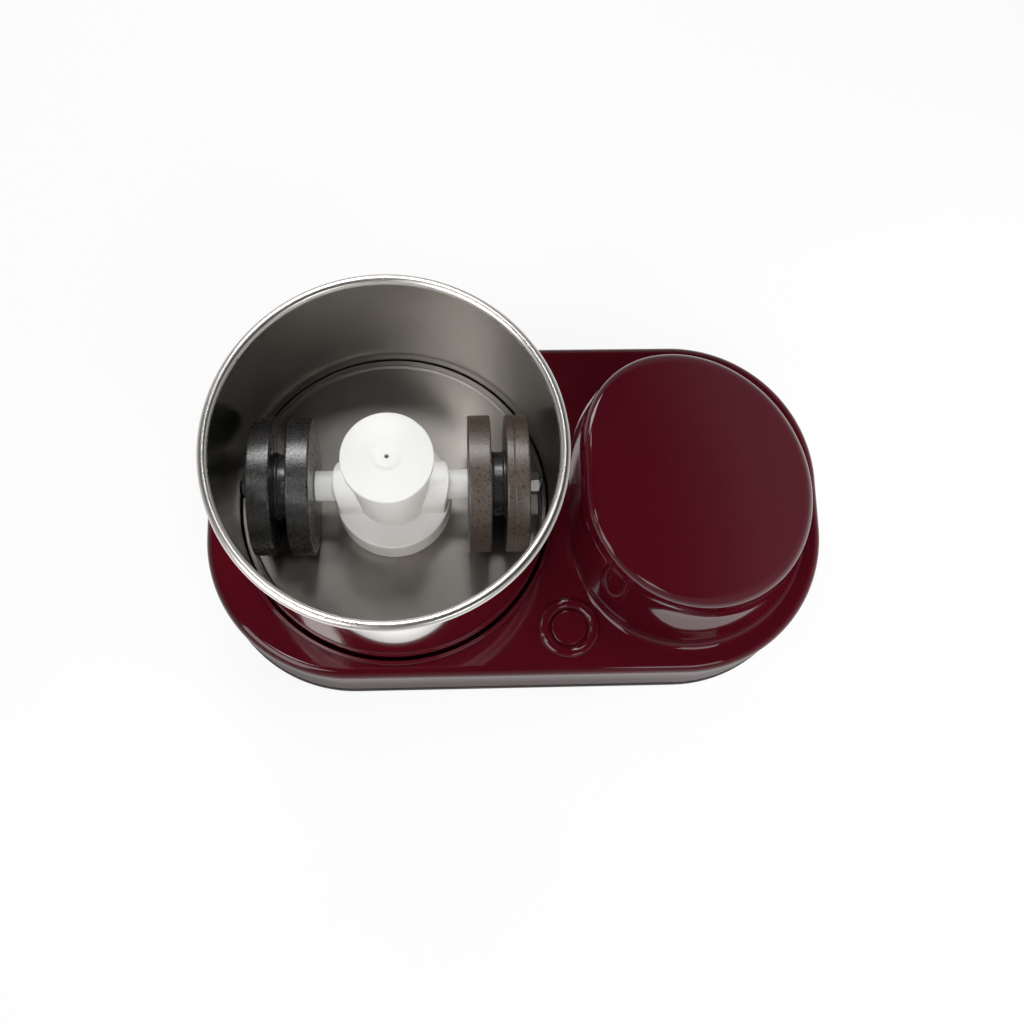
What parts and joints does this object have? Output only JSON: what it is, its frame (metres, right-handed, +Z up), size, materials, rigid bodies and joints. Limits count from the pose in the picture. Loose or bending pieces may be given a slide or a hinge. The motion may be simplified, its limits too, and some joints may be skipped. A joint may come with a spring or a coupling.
{
  "type": "tabletop wet grinder",
  "caption": "Tabletop wet grinder: a steel drum turns on a belt-driven hub under stone rollers on a fixed white holder, beside a sloping motor tower with a push button on the deck.",
  "frame": {"origin": "on the table, under the middle of the base", "axes": "+X along the base from the drum to the motor tower, +Y to the back, +Z up along the drum's axis"},
  "size_m": [0.4282, 0.2372, 0.2183],
  "materials": {
    "maroon_gloss": "deep maroon, high-gloss moulded",
    "pan_plastic": "dark grey, fine moulded texture",
    "black_plastic": "black moulded",
    "black_rubber": "matt moulded rubber",
    "white_nylon": "white turned nylon, satin",
    "drum_steel": "polished stainless steel, ring-brushed inside",
    "bed_steel": "satin turned steel face",
    "shaft_steel": "ground steel",
    "zinc_plate": "zinc-plated steel",
    "cast_alloy": "die-cast, as cast",
    "can_aluminium": "drawn can",
    "laminations": "stacked steel sheets",
    "copper_wire": "varnished copper wire",
    "bush_brass": "machined",
    "granite_dark": "near-black granite, ground",
    "granite_brown": "brown-grey speckled granite, ground"
  },
  "bodies": {
    "base": {"base_pan": "pan_plastic", "rubber_feet": "black_rubber", "top_housing": "maroon_gloss", "motor_cap": "maroon_gloss", "housing_screws": "zinc_plate", "button_bezel": "maroon_gloss", "bezel_nut": "pan_plastic", "switch_body": "black_plastic", "centre_shaft": "shaft_steel", "shaft_flange": "cast_alloy", "flange_bolts": "zinc_plate", "motor_plate": "zinc_plate", "plate_posts": "pan_plastic", "motor_mounts": "black_rubber", "plate_screws": "zinc_plate", "motor_lower_bracket": "cast_alloy", "motor_stator": "laminations", "motor_windings": "copper_wire", "motor_upper_bracket": "cast_alloy", "motor_bolts": "zinc_plate", "run_capacitor": "can_aluminium", "capacitor_clip": "zinc_plate", "terminal_block": "white_nylon", "cord_gland": "black_rubber", "drive_belt": "black_rubber"},
    "drive": {"drive_pulley": "cast_alloy", "drive_hub": "cast_alloy", "hub_bearings": "shaft_steel", "drive_pins": "shaft_steel", "pulley_screws": "zinc_plate"},
    "rotor": {"rotor_core": "laminations", "motor_shaft": "shaft_steel", "motor_pulley": "cast_alloy", "cooling_fan": "white_nylon"},
    "drum": {"drum_shell": "drum_steel", "drum_boss": "cast_alloy", "drum_chimney": "drum_steel", "chimney_bush": "bush_brass", "grinding_bed": "bed_steel", "drum_seal": "black_rubber"},
    "washer": {"thrust_washer": "bush_brass"},
    "roller_set": {"roller_holder": "white_nylon", "axle_rods": "shaft_steel", "axle_washers": "shaft_steel", "axle_nuts": "zinc_plate"},
    "knob": {"lock_knob": "white_nylon"},
    "roller_left": {"left_inner_stone": "granite_dark", "left_outer_stone": "granite_dark", "left_spool": "black_plastic", "left_bushes": "bush_brass"},
    "roller_right": {"right_inner_stone": "granite_brown", "right_outer_stone": "granite_brown", "right_spool": "black_plastic", "right_bushes": "bush_brass"},
    "button": {"push_button": "maroon_gloss"}
  },
  "joints": [
    {"name": "drum_spin", "type": "hinge", "parent": "base", "child": "drive", "pos_m": [-0.083, 0, 0.04], "axis": [0, 0, 1], "continuous": true},
    {"name": "drum_lift", "type": "slide", "parent": "drive", "child": "drum", "axis": [0, 0, 1], "range_m": [0, 0.15]},
    {"name": "washer_hold", "type": "hinge", "parent": "drum", "child": "washer", "pos_m": [-0.083, 0, 0.151], "axis": [0, 0, 1], "continuous": true},
    {"name": "roller_lift", "type": "slide", "parent": "washer", "child": "roller_set", "axis": [0, 0, 1], "range_m": [0, 0.14]},
    {"name": "knob_turn", "type": "hinge", "parent": "roller_set", "child": "knob", "pos_m": [-0.083, 0, 0.187], "axis": [0, 0, 1], "range_deg": [0, 360]},
    {"name": "roller_left_spin", "type": "hinge", "parent": "roller_set", "child": "roller_left", "pos_m": [-0.15175, 0, 0.1318], "axis": [1, 0, 0], "continuous": true},
    {"name": "roller_right_spin", "type": "hinge", "parent": "roller_set", "child": "roller_right", "pos_m": [-0.01425, 0, 0.1318], "axis": [1, 0, 0], "continuous": true},
    {"name": "motor_spin", "type": "hinge", "parent": "base", "child": "rotor", "pos_m": [0.1015, 0, 0.084], "axis": [0, 0, 1], "continuous": true},
    {"name": "button_press", "type": "slide", "parent": "base", "child": "button", "axis": [0, 0, -1], "range_m": [0, 0.003], "stiffness_N_per_m": 600, "springref_m": -0.002}
  ],
  "couplings": [
    {"joint": "washer_hold", "follows": "drum_spin", "ratio": -1},
    {"joint": "roller_left_spin", "follows": "drum_spin", "ratio": -1.5415},
    {"joint": "roller_right_spin", "follows": "drum_spin", "ratio": 1.5415},
    {"joint": "motor_spin", "follows": "drum_spin", "ratio": 6.4212}
  ]
}
